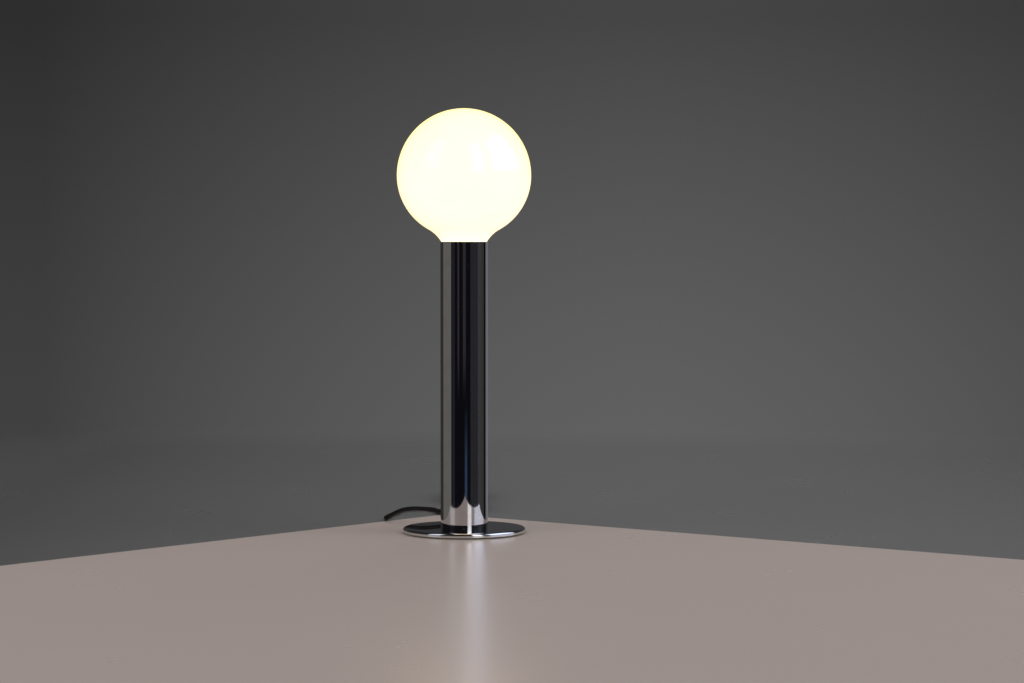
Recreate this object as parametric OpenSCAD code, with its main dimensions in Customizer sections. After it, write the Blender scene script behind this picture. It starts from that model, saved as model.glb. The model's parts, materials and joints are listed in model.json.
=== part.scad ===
// Cylinder table lamp: a chromed tube on a round chromed foot, with a bare opal globe bulb in its
// upper end and a black cord that leaves the tube at the back. Millimetres, +Z up, the origin is
// under the middle of the foot, on the table. The cord leaves towards +Y.

/* [Foot] */
// Diameter of the round foot disc
base_d = 110; // [90:1:150]
// Thickness of the foot disc
plate_t = 4; // [3.2:0.1:8]
// Radius of the disc's rounded upper edge
plate_round = 2; // [0.5:0.1:2.5]
// Thickness of the felt under the disc
felt_t = 1.2; // [0.8:0.1:3]
// How far the felt stays inside the disc's edge
felt_inset = 0.6; // [0:0.1:6]
// Height of the plug that joins the disc to the tube
plug_h = 5.5; // [5:0.1:12]
// Diameter of the circle that the foot screws stand on
screw_circle_d = 24; // [20:0.5:28]
// Thread diameter of the foot screws
foot_screw_d = 4; // [3:0.5:5]
// How far the foot screws reach into the plug
foot_screw_grip = 4.5; // [3:0.1:4.8]

/* [Tube] */
// Outer diameter of the tube
tube_d = 42.4; // [42:0.1:52]
// Wall of the tube
tube_wall = 1.2; // [0.8:0.1:1.6]
// Length of the tube
tube_h = 256; // [150:1:400]
// Width of the tube's upper edge, which is bevelled on its inner side to take the globe
rim_edge = 0.3; // [0.2:0.1:0.6]

/* [Bulb] */
// Diameter of the opal globe
globe_d = 120; // [112:1:140]
// Radius of the globe's shoulder below its widest line
shoulder_r = 55; // [48:1:56]
// Radius of the hollow curve between the shoulder and the neck
hollow_r = 30; // [24:1:40]
// Radius of the glass neck
neck_r = 16.2; // [15:0.1:17]
// Wall of the glass
glass_t = 1; // [0.6:0.1:1.5]
// Gap between the glass and the tube's upper edge
rim_gap = 0.4; // [0.3:0.1:1.5]
// Length of the straight glass neck
neck_straight = 2.5; // [1:0.1:8]
// Length of the neck's taper down to the cap
neck_taper = 2.4; // [1.5:0.1:6]
// Length of the cap's smooth skirt
skirt_l = 6; // [4:0.5:9]
// Length of the cap's thread
cap_thread_l = 15; // [11:0.5:16]
// Length of the black glass at the cap's lower end
cap_glass_l = 4.5; // [3:0.1:6]
// Height of the solder contact under the cap
cap_tip_h = 1.5; // [1:0.1:2.5]
// Mean radius of the lamp cap's thread
thread_r = 12.65; // [12.4:0.05:12.8]
// Depth of the rounded thread, each way from its mean radius
thread_wave = 0.5; // [0.3:0.05:0.6]
// Rise of the thread in one turn
thread_pitch = 3.629; // [3:0.001:4]
// Radius inside the cap's metal shell
cap_bore_r = 11.7; // [11.2:0.1:11.8]

/* [Lampholder] */
// Gap between the cap's thread and the holder's thread
thread_gap = 0.38; // [0.36:0.02:0.5]
// Outer radius of the holder's brass shell
shell_r = 14.2; // [14.1:0.1:14.4]
// Outer radius of the holder's barrel
barrel_r = 19.2; // [18.6:0.1:19.4]
// Height of the holder's ceramic insert
insert_h = 14; // [12:0.5:18]
// Height of the holder's dome
dome_h = 19.8; // [18:0.1:26]
// Outer diameter of the threaded nipple
nipple_d = 10; // [9.8:0.1:11]
// Bore of the nipple
nipple_bore_d = 7; // [5:0.1:7.5]
// Thickness of the bridge that carries the nipple
bridge_t = 6; // [4:0.5:12]
// Width of the nipple nuts across their flats
nut_af = 14; // [13:0.5:17]
// Thickness of a nipple nut
nut_t = 3.5; // [2.5:0.1:5]
// Thickness of the lock washer
washer_t = 0.8; // [0.5:0.1:1.5]

/* [Cord] */
// Diameter of the black cord
cord_d = 4; // [3.8:0.1:4.2]
// Length of the tapered sleeve where the cord leaves the tube
sleeve_l = 22; // [20:1:24]
// Length of the cord switch
switch_l = 58; // [56:1:60]
// Width of the cord switch
switch_w = 22; // [21:0.5:23]
// Height of the cord switch
switch_h = 15; // [14:0.5:18]
// Wall of the cord switch
switch_wall = 1.6; // [1.2:0.1:2]
// How far the rocker tips from one side to the other, in degrees
rocker_swing = 16; // [12:1:18]
// Diameter of the plug's pins
pin_d = 4; // [3.8:0.1:4.2]
// Distance between the plug's pins
pin_gap = 18.6; // [17.5:0.1:19.2]
// Length of the plug's pins
pin_l = 19; // [17:0.5:20]
// Thickness of the tie round the cord's hank
tie_t = 0.8; // [0.5:0.1:1.2]

/* [Hidden] */
$fn = 72;

// Fits: a pressed or turned fit, a thread stood in for by plain walls, and a seat that only touches
fit = 0.03;
thread_fit = 0.05;
seat = 0.1;
// Gap between two pieces that move apart
free_gap = 0.3;

// Foot and tube
plate_top = felt_t + plate_t;
tube_r = tube_d / 2;
tube_ri = tube_r - tube_wall;
rim_z = plate_top + tube_h;
rim_r = tube_r - rim_edge;
rim_bevel_h = 2 * (tube_wall - rim_edge);
plug_top = plate_top + plug_h;
plug_r = tube_ri - fit;
screw_r = foot_screw_d / 2;
screw_head_r = foot_screw_d;
screw_angles = [90, 210, 330];
clamp_screw_r = 1.5;
clamp_screw_x = 7;
clamp_y = 5;
clamp_w = 7;
clamp_h = 5.6;

// Where the cord leaves the tube
cord_r = cord_d / 2;
exit_z = plug_top + cord_r + seat;
exit_hole_r = 4.05;
bush_flange_r = 5.2;
bush_flange_t = 1.6;
bush_collar_r = 4.8;
bush_collar_t = 1.5;
sleeve_end_y = tube_r + bush_flange_t + sleeve_l;

// Globe bulb, worked out down from the tube's upper edge
globe_r = globe_d / 2;
shoulder_x = globe_r - shoulder_r;
hollow_x = neck_r + hollow_r;
hollow_z = rim_z - sqrt(pow(hollow_r - rim_gap, 2) - pow(hollow_x - rim_r, 2));
globe_z = hollow_z + sqrt(pow(shoulder_r + hollow_r, 2) - pow(hollow_x - shoulder_x, 2));
shoulder_end = atan2(hollow_z - globe_z, hollow_x - shoulder_x);
neck_z = hollow_z - neck_straight;
cap_top_z = neck_z - neck_taper;
thread_top_z = cap_top_z - skirt_l;
thread_low_z = thread_top_z - cap_thread_l;
cap_glass_z = thread_low_z - cap_glass_l;
tip_z = cap_glass_z - cap_tip_h;
skirt_r = thread_r + thread_wave + 0.05;
seal_r = cap_bore_r - 1.1;
seal_z = cap_top_z - 12;
tip_r = 5;
stem_r = 4.2;
stem_bore_r = 2.6;
stem_top_z = globe_z - 34;
pinch_top_z = stem_top_z + 9;
button_z = globe_z - 14;
filament_r = 13;
filament_z = globe_z + 2;
wire_r = 0.45;
wire_x = 1.4;
supports = 5;

// Lampholder, worked out down from the bulb's cap
shell_top_z = thread_top_z - free_gap;
insert_top_z = thread_low_z - 3;
insert_low_z = insert_top_z - insert_h;
insert_flange_t = 3;
shoulder_ri = barrel_r - 2.6;
barrel_ri = shell_r + 0.4;
spigot_r = shoulder_ri - seat;
spigot_ri = spigot_r - 1.2;
insert_r = spigot_ri - 0.2;
mouth_z = cap_top_z + 0.8;
dome_top_z = insert_low_z - 2;
dome_low_z = dome_top_z - dome_h;
dome_wall = 2.6;
boss_r = nipple_d / 2 + 3;
boss_top_z = dome_low_z + 9;
nut_gap = 0.1;
bridge_top_z = dome_low_z - nut_t - washer_t - 2 * nut_gap;
bridge_low_z = bridge_top_z - bridge_t;
nipple_top_z = boss_top_z;
nipple_low_z = bridge_low_z - nut_t - 2;
nipple_r = nipple_d / 2;
contact_top_z = tip_z - free_gap;
contact_t = 0.5;
well_r = 8;
well_z = contact_top_z - 3.7;
strip_x = shell_r - 0.75;
strip_t = 0.8;
terminal_h = 6;
terminal_z = insert_low_z - terminal_h;
live_x = -7;
neutral_x = strip_x - 2.6;
terminal_w = 6;
terminal_d = 5;
terminal_screw_r = 1.2;
grub_r = 1.5;

// Cord switch: its middle, its split line and what stands inside it
switch_x = 9;
switch_y = 205;
switch_z = 7;
switch_corner = 5;
pin_z = switch_h - 3.8;
rocker_l = 14;
rocker_w = 9;
rocker_rise = 4.2;
rocker_rest = rocker_swing / 2;
rocker_pin_r = 1;
block_y = 13;
block = [4.5, 5, 5];
live_block_x = -4.7;
neutral_block_x = 5;
arm_z = 2.6;
arm_t = 0.6;
pad_y = -5;
pad_h = 0.7;
bar_z = arm_z + arm_t + pad_h + free_gap;
bar_t = 0.8;
case_screw_r = 1.25;
case_head_z = 1.9;
case_screw_at = [[6.8, -20.5], [-6.8, 20.5]];
switch_screw_r = 1.1;
grip_y = 24.5;
sheath_end = 19.5;

// Plug
plug_x = 2.5;
plug_w = 35.3;
plug_t = 13.7;
plug_len = 34;
plug_z = plug_t / 2;
plug_sleeve_y = 400;
plug_sleeve_l = 22;
plug_y = plug_sleeve_y + plug_sleeve_l;
plug_face_y = plug_y + plug_len;
pin_socket = 12;
pin_sleeve_l = 10;
pin_sleeve_t = 0.5;
pin_sleeve_inset = 0.2;

// The hank: loops laid side by side and in layers, drawn in at the waist
hank_run = 60;
hank_y = 276;
hank_fold_r = 3 * cord_d + 0.2;
hank_step = cord_d + 1.4;
hank_layer = cord_d + 0.6;
hank_loops = 6;
loops_per_layer = 1.5;
hank_out_r = hank_fold_r + loops_per_layer * hank_step;
hank_z = tie_t + seat + cord_r;
hank_waist = hank_fold_r - cord_r - 0.3;
hank_mid_y = hank_y + hank_run / 2;
tie_w = 8;

// The cord's routes along the table, chosen by hand
lamp_side_route = concat([[0, sleeve_end_y, exit_z], [0, sleeve_end_y + 4, exit_z]], [
    [-0.8, 54, 12.6], [-3.2, 58.8, 12.3], [-7, 62.6, 12], [-11.8, 65.1, 11.9], [-18.5, 67.4, 12],
    [-25.5, 69.7, 12.5], [-33, 72.4, 13.5], [-41, 75.7, 14], [-49, 79.4, 13.6],
    [-56, 83.4, 12.2], [-61.7, 87.3, 10], [-66, 91.2, 7.3], [-69.4, 95.6, 4.8],
    [-72, 100.8, 2.9], [-73.3, 106.8, 2.1], [-73.4, 113.2, 2.1], [-72.1, 121, 2.1],
    [-70.2, 130, 2.1], [-68, 140, 2.1], [-65.9, 150, 2.1], [-63.9, 159, 2.1], [-62.2, 167.2, 2.1],
    [-61, 175.6, 2.1], [-57.6, 183.4, 2.1], [-51.6, 188.3, 2.1], [-44.2, 190, 2.1],
    [-36.7, 188.3, 2.1], [-30.6, 183.2, 2.1], [-27.4, 175.6, 2.1], [-26.4, 167.5, 2.1],
    [-25.2, 159.5, 2.1], [-22, 151.8, 2.1], [-15.8, 145.7, 2.1], [-7.5, 143.5, 2.2],
    [0.8, 145.7, 2.6], [6.8, 151.8, 3.7], [9, 160, 5.2], [9, 166, 6.3],
    [switch_x, switch_y - switch_l / 2 - 5, switch_z], [switch_x, switch_y - switch_l / 2, switch_z]
]);
to_hank_route = [
    [switch_x, switch_y + switch_l / 2, switch_z],
    [switch_x, switch_y + switch_l / 2 + 5, switch_z], [9.7, 244.3, 6.7], [11.6, 249.3, 5.9],
    [14.6, 253.6, 5], [17.7, 257.9, 4], [19.6, 262.8, 3.2],
    [hank_out_r, hank_y - 2 * cord_d, hank_z], [hank_out_r, hank_y - cord_d, hank_z]
];
to_plug_route = [
    [hank_out_r, hank_y + hank_run + cord_d, hank_z + 3 * hank_layer],
    [hank_out_r, hank_y + hank_run + 2 * cord_d, hank_z + 3 * hank_layer], [19.3, 352, 15.4],
    [16.2, 363, 12.7], [11.6, 372, 9.8], [7, 380, 7.8], [3.7, 388, 7],
    [plug_x, plug_sleeve_y - 5, plug_z], [plug_x, plug_sleeve_y, plug_z]
];
inner_route = [
    [0, sleeve_end_y, exit_z], [0, 1, exit_z], [0, -5, exit_z + 1.2], [0, -10.3, exit_z + 4.7],
    [0, -13.8, exit_z + 9.9], [0, -15, exit_z + 16], [0, -15, exit_z + 24], [0, -12, 62],
    [0, -6, 95], [0, -1.5, 128], [0, 0, nipple_low_z - 6], [0, 0, boss_top_z + 1]
];

function unit(v) = v / norm(v);
function way(p, i) = unit(p[min(i + 1, len(p) - 1)] - p[max(i - 1, 0)]);
function arc(x, y, r, from, to, n) =
    [for (i = [0:n]) let (a = from + (to - from) * i / n) [x + r * cos(a), y + r * sin(a)]];
function reversed(p) = [for (i = [len(p) - 1:-1:0]) p[i]];
function step_up(t) = t < 0 ? 0 : t > 1 ? 1 : t * t * (3 - 2 * t);

// A round cord swept along the points of a route, with flat ends; up is never along the route
module swept(path, r, sides, up = [0, 0, 1]) {
    n = len(path);
    rings = [
        for (i = [0:n - 1])
            let (t = way(path, i), s = unit(cross(t, up)), u = cross(s, t))
                for (k = [0:sides - 1])
                    path[i] + r * (cos(360 * k / sides) * s + sin(360 * k / sides) * u)
    ];
    walls = [
        for (i = [0:n - 2], k = [0:sides - 1])
            let (a = i * sides + k, b = i * sides + (k + 1) % sides)
                each [[a, b, b + sides], [a, b + sides, a + sides]]
    ];
    first = [for (k = [sides - 1:-1:0]) k];
    last = [for (k = [0:sides - 1]) (n - 1) * sides + k];
    polyhedron(rings, concat(walls, [first, last]));
}

// A rounded lamp thread as a solid rod: a circle whose centre goes round once in each turn
module thread_rod(r, low, high) {
    sides = 30;
    n = ceil((high - low) / thread_pitch * 12);
    rings = [
        for (i = [0:n])
            let (z = low + (high - low) * i / n, a = 360 * z / thread_pitch)
                for (k = [0:sides - 1])
                    [
                        thread_wave * cos(a) + r * cos(360 * k / sides),
                        thread_wave * sin(a) + r * sin(360 * k / sides),
                        z
                    ]
    ];
    walls = [
        for (i = [0:n - 1], k = [0:sides - 1])
            let (a = i * sides + k, b = i * sides + (k + 1) % sides)
                each [[a, a + sides, b + sides], [a, b + sides, b]]
    ];
    first = [for (k = [0:sides - 1]) k];
    last = [for (k = [sides - 1:-1:0]) n * sides + k];
    polyhedron(rings, concat(walls, [first, last]));
}

module turned(points) {
    rotate_extrude() polygon(points);
}

module ring(r, ri, h) {
    difference() {
        cylinder(r = r, h = h);
        translate([0, 0, -1]) cylinder(r = ri, h = h + 2);
    }
}

// A screw that points up from z = 0, where its shank starts: a pan head below, a slot across it
module pan_screw(r, head_r, head_h, length) {
    difference() {
        union() {
            translate([0, 0, -head_h]) cylinder(r = head_r, h = head_h);
            cylinder(r = r, h = length);
        }
        translate([-head_r - 1, -head_r / 6, -head_h - 1])
            cube([2 * head_r + 2, head_r / 3, 1 + head_h / 2]);
    }
}

module at_foot_screws() {
    for (a = screw_angles) rotate(a) translate([screw_circle_d / 2, 0, 0]) children();
}

module rearward() {
    rotate([-90, 0, 0]) children();
}

module felt_pad() {
    color("darkolivegreen") cylinder(d = base_d - 2 * felt_inset, h = felt_t);
}

module base_plate() {
    r = base_d / 2;
    sink = screw_head_r - screw_r;
    color("silver") difference() {
        turned(concat(
            [[0, felt_t], [r - 0.3, felt_t], [r, felt_t + 0.3]],
            arc(r - plate_round, plate_top - plate_round, plate_round, 0, 90, 12),
            [[0, plate_top]]
        ));
        at_foot_screws() {
            translate([0, 0, felt_t - 1]) cylinder(r = screw_r + seat, h = plate_t + 2);
            translate([0, 0, felt_t])
                cylinder(r1 = screw_head_r + seat, r2 = screw_r + seat, h = sink);
        }
    }
}

module base_screws() {
    sink = screw_head_r - screw_r;
    top = plate_top + foot_screw_grip;
    color("dimgray") at_foot_screws() difference() {
        turned([
            [0, felt_t], [screw_head_r, felt_t], [screw_r, felt_t + sink], [screw_r, top - 0.5],
            [screw_r - 0.5, top], [0, top]
        ]);
        translate([0, 0, felt_t - 1]) cylinder(d = foot_screw_d * 0.62, h = 2.6, $fn = 6);
    }
}

module foot_plug() {
    color("lightslategray") difference() {
        translate([0, 0, plate_top]) cylinder(r = plug_r, h = plug_h);
        at_foot_screws() translate([0, 0, plate_top - 1])
            cylinder(r = screw_r + thread_fit, h = foot_screw_grip + 1.3);
        for (x = [-clamp_screw_x, clamp_screw_x]) translate([x, clamp_y, plate_top + 0.8])
            cylinder(r = clamp_screw_r + thread_fit, h = plug_h);
        translate([-bush_collar_r - 0.5, tube_ri - bush_collar_t - 1, exit_z - bush_collar_r - 0.5])
            cube([2 * bush_collar_r + 1, 10, 20]);
    }
}

module tube() {
    color("silver") difference() {
        translate([0, 0, plate_top]) cylinder(r = tube_r, h = tube_h);
        translate([0, 0, plate_top - 1]) cylinder(r = tube_ri, h = tube_h + 2);
        translate([0, 0, rim_z - rim_bevel_h])
            cylinder(r1 = tube_ri, r2 = 2 * rim_r - tube_ri, h = 2 * rim_bevel_h);
        translate([0, 0, exit_z]) rearward() cylinder(r = exit_hole_r, h = tube_r + 1);
    }
}

// Grommet and tapered sleeve in one: a collar inside the wall, a flange outside it, ribs behind
module cord_bush() {
    ribs = 4;
    rib_step = (sleeve_l - 5) / ribs;
    color("black") difference() {
        union() {
            intersection() {
                translate([0, 0, exit_z]) rearward()
                    translate([0, 0, tube_ri - bush_collar_t - 0.5])
                        cylinder(r = bush_collar_r, h = bush_collar_t + 2);
                cylinder(r = tube_ri - fit, h = rim_z);
            }
            translate([0, tube_ri - bush_collar_t, exit_z]) rearward()
                cylinder(r = exit_hole_r - thread_fit, h = tube_wall + bush_collar_t + 0.5);
            difference() {
                translate([0, tube_ri, exit_z]) rearward()
                    cylinder(r = bush_flange_r, h = tube_wall + bush_flange_t);
                cylinder(r = tube_r + fit, h = rim_z);
            }
            translate([0, tube_r + bush_flange_t - 0.5, exit_z]) rearward()
                cylinder(r1 = cord_r + 1.9, r2 = cord_r + 0.7, h = sleeve_l + 0.5);
            for (i = [0:ribs - 1])
                translate([0, tube_r + bush_flange_t + 2 + i * rib_step, exit_z]) rearward()
                    cylinder(r = cord_r + 2.1 - 0.3 * i, h = rib_step / 2);
        }
        translate([0, 0, exit_z]) rearward() cylinder(r = cord_r + thread_fit, h = 80);
    }
}

module cord_clamp() {
    color("gainsboro") difference() {
        translate([-clamp_screw_x - 3.2, clamp_y - clamp_w / 2, plug_top])
            cube([2 * clamp_screw_x + 6.4, clamp_w, clamp_h]);
        translate([0, 0, exit_z]) rotate([90, 0, 0])
            cylinder(r = cord_r + thread_fit, h = 60, center = true);
        translate([-cord_r - thread_fit, -30, plug_top - 1])
            cube([cord_d + 2 * thread_fit, 60, exit_z - plug_top + 1]);
        for (x = [-clamp_screw_x, clamp_screw_x]) translate([x, clamp_y, 0])
            cylinder(r = clamp_screw_r + seat, h = 60);
    }
}

module clamp_screws() {
    color("silver") for (x = [-clamp_screw_x, clamp_screw_x])
        translate([x, clamp_y, plug_top + clamp_h]) mirror([0, 0, 1])
            pan_screw(clamp_screw_r, 2.8, 2, clamp_h + plug_h - 1.2);
}

module inner_lead() {
    color("black") swept(inner_route, cord_r, 8, [1, 0, 0]);
}

module holder_bridge() {
    color("lightslategray") difference() {
        translate([0, 0, bridge_low_z]) cylinder(r = tube_ri - fit, h = bridge_t);
        cylinder(r = nipple_r + thread_fit, h = rim_z);
    }
}

module nipple() {
    color("goldenrod") translate([0, 0, nipple_low_z])
        ring(nipple_r, nipple_bore_d / 2, nipple_top_z - nipple_low_z);
}

module nut() {
    difference() {
        cylinder(d = nut_af / cos(30), h = nut_t, $fn = 6);
        translate([0, 0, -1]) cylinder(r = nipple_r + thread_fit, h = nut_t + 2);
    }
}

module nipple_nuts() {
    color("goldenrod") {
        translate([0, 0, bridge_low_z - nut_t]) nut();
        translate([0, 0, bridge_top_z + washer_t + nut_gap]) nut();
    }
}

module lock_washer() {
    teeth = 12;
    color("silver") translate([0, 0, bridge_top_z]) difference() {
        union() {
            cylinder(d = nut_af - 2, h = washer_t);
            for (i = [0:teeth - 1]) rotate(360 * i / teeth)
                translate([nut_af / 2 - 1.5, -0.8, 0]) cube([2.2, 1.6, washer_t]);
        }
        translate([0, 0, -1]) cylinder(r = nipple_r + thread_fit, h = 5);
    }
}

module holder_dome() {
    neck_out = boss_r + 1.2;
    color("black") difference() {
        turned([
            [nipple_r + thread_fit, dome_low_z], [neck_out, dome_low_z],
            [neck_out, dome_low_z + 3], [barrel_r, dome_low_z + 11], [barrel_r, dome_top_z],
            [spigot_r, dome_top_z], [spigot_r, insert_top_z - insert_flange_t],
            [spigot_ri, insert_top_z - insert_flange_t], [spigot_ri, boss_top_z + 3],
            [boss_r, boss_top_z], [nipple_r + thread_fit, boss_top_z]
        ]);
        translate([0, 0, dome_low_z + 4]) rotate([0, 90, 0])
            cylinder(r = grub_r + thread_fit, h = 30);
    }
}

module dome_grub_screw() {
    color("dimgray") translate([nipple_r + seat, 0, dome_low_z + 4]) rotate([0, 90, 0])
        difference() {
            cylinder(r = grub_r, h = 5);
            translate([0, 0, 3.5]) cylinder(d = 1.6, h = 3, $fn = 6);
        }
}

module holder_barrel() {
    color("black") turned([
        [shoulder_ri, dome_top_z + seat], [barrel_r, dome_top_z + seat],
        [barrel_r, mouth_z - 1.5], [barrel_r - 1.5, mouth_z], [barrel_ri, mouth_z],
        [barrel_ri, insert_top_z + seat], [shoulder_ri, insert_top_z + seat]
    ]);
}

module holder_insert() {
    color("ivory") difference() {
        union() {
            translate([0, 0, insert_low_z]) cylinder(r = insert_r, h = insert_h);
            translate([0, 0, insert_top_z - insert_flange_t])
                cylinder(r = spigot_r - 0.1, h = insert_flange_t);
        }
        translate([0, 0, well_z]) cylinder(r = well_r, h = insert_h);
        translate([strip_x - strip_t / 2 - thread_fit, -2 - thread_fit, insert_low_z - 1])
            cube([strip_t + 2 * thread_fit, 4 + 2 * thread_fit, insert_h + 2]);
        translate([live_x + 1.5, 0, insert_low_z - 1]) cylinder(r = 1.5 + thread_fit, h = insert_h);
    }
}

module holder_shell() {
    color("gold") difference() {
        translate([0, 0, insert_top_z]) cylinder(r = shell_r, h = shell_top_z - insert_top_z);
        thread_rod(thread_r + thread_gap, insert_top_z - 0.5, shell_top_z + 0.5);
    }
}

// Leaf spring in the insert's well, riveted down to its terminal
module centre_contact() {
    rise = contact_top_z - well_z;
    color("gold") translate([0, 0, well_z]) {
        rotate([90, 0, 0]) translate([0, 0, -2.5]) linear_extrude(5) polygon([
            [live_x, 0], [-3, 0], [-0.8, rise - contact_t], [2.5, rise - contact_t], [4, rise - 1.6],
            [4.6, rise - 1.2], [2.8, rise], [-1.2, rise], [-3.4, contact_t], [live_x, contact_t]
        ]);
        translate([live_x + 1.5, 0, insert_low_z - well_z])
            cylinder(r = 1.5, h = well_z - insert_low_z);
    }
}

module shell_contact() {
    color("gold") translate([strip_x - strip_t / 2, -2, insert_low_z])
        cube([strip_t, 4, insert_h]);
}

module holder_terminals() {
    color("gold") for (x = [live_x, neutral_x]) translate([x, 0, terminal_z]) difference() {
        translate([-terminal_w / 2, -terminal_d / 2, 0]) cube([terminal_w, terminal_d, terminal_h]);
        translate([0, 0, -1]) cylinder(r = 1.1, h = terminal_h - 1);
        translate([0, 0, terminal_h / 2]) rotate([0, x < 0 ? -90 : 90, 0])
            cylinder(r = terminal_screw_r + thread_fit, h = 20);
    }
}

module terminal_screws() {
    head_h = 1;
    color("silver") for (x = [live_x, neutral_x])
        translate([x + sign(x) * terminal_w / 2, 0, terminal_z + terminal_h / 2])
            rotate([0, x < 0 ? 90 : -90, 0])
                pan_screw(terminal_screw_r, 1.9, head_h, terminal_w / 2 - 1.2);
}

// The two cores that leave the lead's end and turn up into the terminals
module holder_cores() {
    z = boss_top_z + 1;
    for (x = [live_x, neutral_x]) color(x < 0 ? "saddlebrown" : "royalblue")
        swept([
            [sign(x), 0, z], [sign(x), 0, z + 0.5], [sign(x) * 1.6, 0, z + 1.6],
            [x * 0.7, 0, z + 3.2], [x * 0.97, 0, terminal_z - 1.8], [x, 0, terminal_z - 0.8],
            [x, 0, terminal_z + 4]
        ], 0.95, 8, [0, 1, 0]);
}

module globe() {
    outside = concat(
        arc(0, globe_z, globe_r, 90, 0, 24),
        arc(shoulder_x, globe_z, shoulder_r, shoulder_end / 12, shoulder_end, 11),
        arc(hollow_x, hollow_z, hollow_r, 180 + shoulder_end, 180, 12),
        [[neck_r, neck_z], [seal_r, cap_top_z], [seal_r, seal_z]]
    );
    inside = concat(
        arc(0, globe_z, globe_r - glass_t, 90, 0, 24),
        arc(shoulder_x, globe_z, shoulder_r - glass_t, shoulder_end / 12, shoulder_end, 11),
        arc(hollow_x, hollow_z, hollow_r + glass_t, 180 + shoulder_end, 180, 12),
        [[neck_r - glass_t, neck_z], [seal_r - glass_t, cap_top_z], [seal_r - glass_t, seal_z]]
    );
    color("ivory") turned(concat(outside, reversed(inside)));
}

module cap_shell() {
    color("silver") difference() {
        union() {
            thread_rod(thread_r, thread_low_z, thread_top_z);
            translate([0, 0, thread_top_z]) cylinder(r = skirt_r, h = skirt_l);
        }
        translate([0, 0, thread_low_z - 1])
            cylinder(r = cap_bore_r, h = cap_thread_l + skirt_l + 2);
    }
}

module cap_cement() {
    color("wheat") translate([0, 0, seal_z + 1]) ring(cap_bore_r - fit, seal_r + fit, 10.5);
}

module cap_insulator() {
    color("black") turned([
        [1.2, cap_glass_z], [tip_r + 0.6, cap_glass_z], [cap_bore_r, thread_low_z],
        [cap_bore_r - fit, thread_low_z], [cap_bore_r - fit, thread_low_z + 1.6],
        [1.2, thread_low_z + 1.6]
    ]);
}

module cap_contact() {
    color("lightgray") turned([
        [0, tip_z], [2.4, tip_z], [4.2, tip_z + 0.4], [tip_r, tip_z + 1], [tip_r, cap_glass_z],
        [0, cap_glass_z]
    ]);
}

// Glass mount of the filament: a flare sealed to the neck, a hollow stem and a pinch with a button
module bulb_stem() {
    flare_r = seal_r - glass_t - fit;
    color("lightcyan") {
        difference() {
            turned([
                [stem_bore_r, seal_z], [flare_r, seal_z], [flare_r, seal_z + 1.2],
                [stem_r + 1, seal_z + 9], [stem_r, seal_z + 13], [stem_r, stem_top_z],
                [2.4, pinch_top_z], [0.8, pinch_top_z + 1], [0.8, button_z - 1.5],
                [2.4, button_z], [0, button_z + 1],
                [0, stem_top_z - 1], [stem_bore_r, stem_top_z - 3]
            ]);
            for (s = [-1, 1]) translate([s * wire_x, 0, stem_top_z - 4])
                cylinder(r = wire_r + thread_fit, h = pinch_top_z + 6 - stem_top_z);
        }
    }
}

module lead_in_wires() {
    to_tip = [[0, 0, cap_glass_z], [0, 0, thread_low_z + 2], [wire_x, 0, seal_z - 2]];
    to_skirt = [
        [wire_r - cap_bore_r, 0, seal_z - 5], [-9.5, 0, seal_z - 4.6], [-2.8, 0, seal_z - 3.2],
        [-wire_x, 0, seal_z - 1]
    ];
    color("silver") for (s = [-1, 1]) swept(concat(s > 0 ? to_tip : to_skirt, [
        [s * wire_x, 0, stem_top_z - 4], [s * wire_x, 0, pinch_top_z + 1],
        [s * 4.5, -1, button_z - 3], [s * 8, -4, button_z + 5],
        [filament_r * sin(s * 150), filament_r * cos(150), filament_z - 0.2]
    ]), wire_r, 6, [0, 1, 0]);
}

module filament_supports() {
    color("dimgray") for (i = [0:supports - 1]) {
        a = 90 + (i - (supports - 1) / 2) * 50;
        reach = filament_r - 3.4;
        rise = filament_z - button_z - 0.3;
        rotate(a) translate([2.8, 0, button_z - 0.2])
            rotate([0, atan2(reach, rise), 0])
                cylinder(r = 0.3, h = norm([reach, rise]), $fn = 16);
    }
}

module filament() {
    turns = 18;
    route = [
        for (i = [0:turns])
            let (a = 90 + (i / turns - 0.5) * 300, wave = i % 2 == 0 ? 0.5 : -0.5)
                [filament_r * cos(a), filament_r * sin(a), filament_z + wave]
    ];
    color("gray") swept(route, 0.4, 6);
}

module cord_lamp_side() {
    color("black") swept(lamp_side_route, cord_r, 10);
}

module cord_to_hank() {
    color("black") swept(to_hank_route, cord_r, 10);
}

module cord_to_plug() {
    color("black") swept(to_plug_route, cord_r, 10);
}

// A point of the hank after u loops from the middle of its first run
function hank_turns_in(u) =
    let (v = u < 0 ? 0 : u > hank_loops ? 0 : u % (2 * loops_per_layer))
        v < loops_per_layer ? v : 2 * loops_per_layer - v;
function hank_r(u) = hank_out_r - hank_step * hank_turns_in(u);
function hank_level(u) = step_up((u - loops_per_layer) * 2 + 0.5)
    + step_up((u - 2 * loops_per_layer) * 2 + 0.5) + step_up((u - 3 * loops_per_layer) * 2 + 0.5);
function hank_waist_at(y) = abs(y) >= hank_run / 2 ? 0 : hank_waist * pow(cos(180 * y / hank_run), 2);
function hank_point(u) =
    let (
        r = hank_r(u),
        run = hank_run / (2 * hank_run + 2 * PI * r),
        v = u - floor(u + 0.5),
        side = abs(v) < 0.25 ? 1 : -1,
        along = abs(v) < 0.25 ? v : (v > 0 ? 0.5 - v : -0.5 - v),
        past = abs(along) - run / 2,
        turn = past * 180 / (0.5 - run),
        y = along / run * hank_run,
        z = hank_z + hank_layer * hank_level(u)
    )
        past <= 0
        ? [side * (r - hank_waist_at(y)), hank_mid_y + y, z]
        : [side * r * cos(turn), hank_mid_y + sign(along) * (hank_run / 2 + r * sin(turn)), z];

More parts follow.
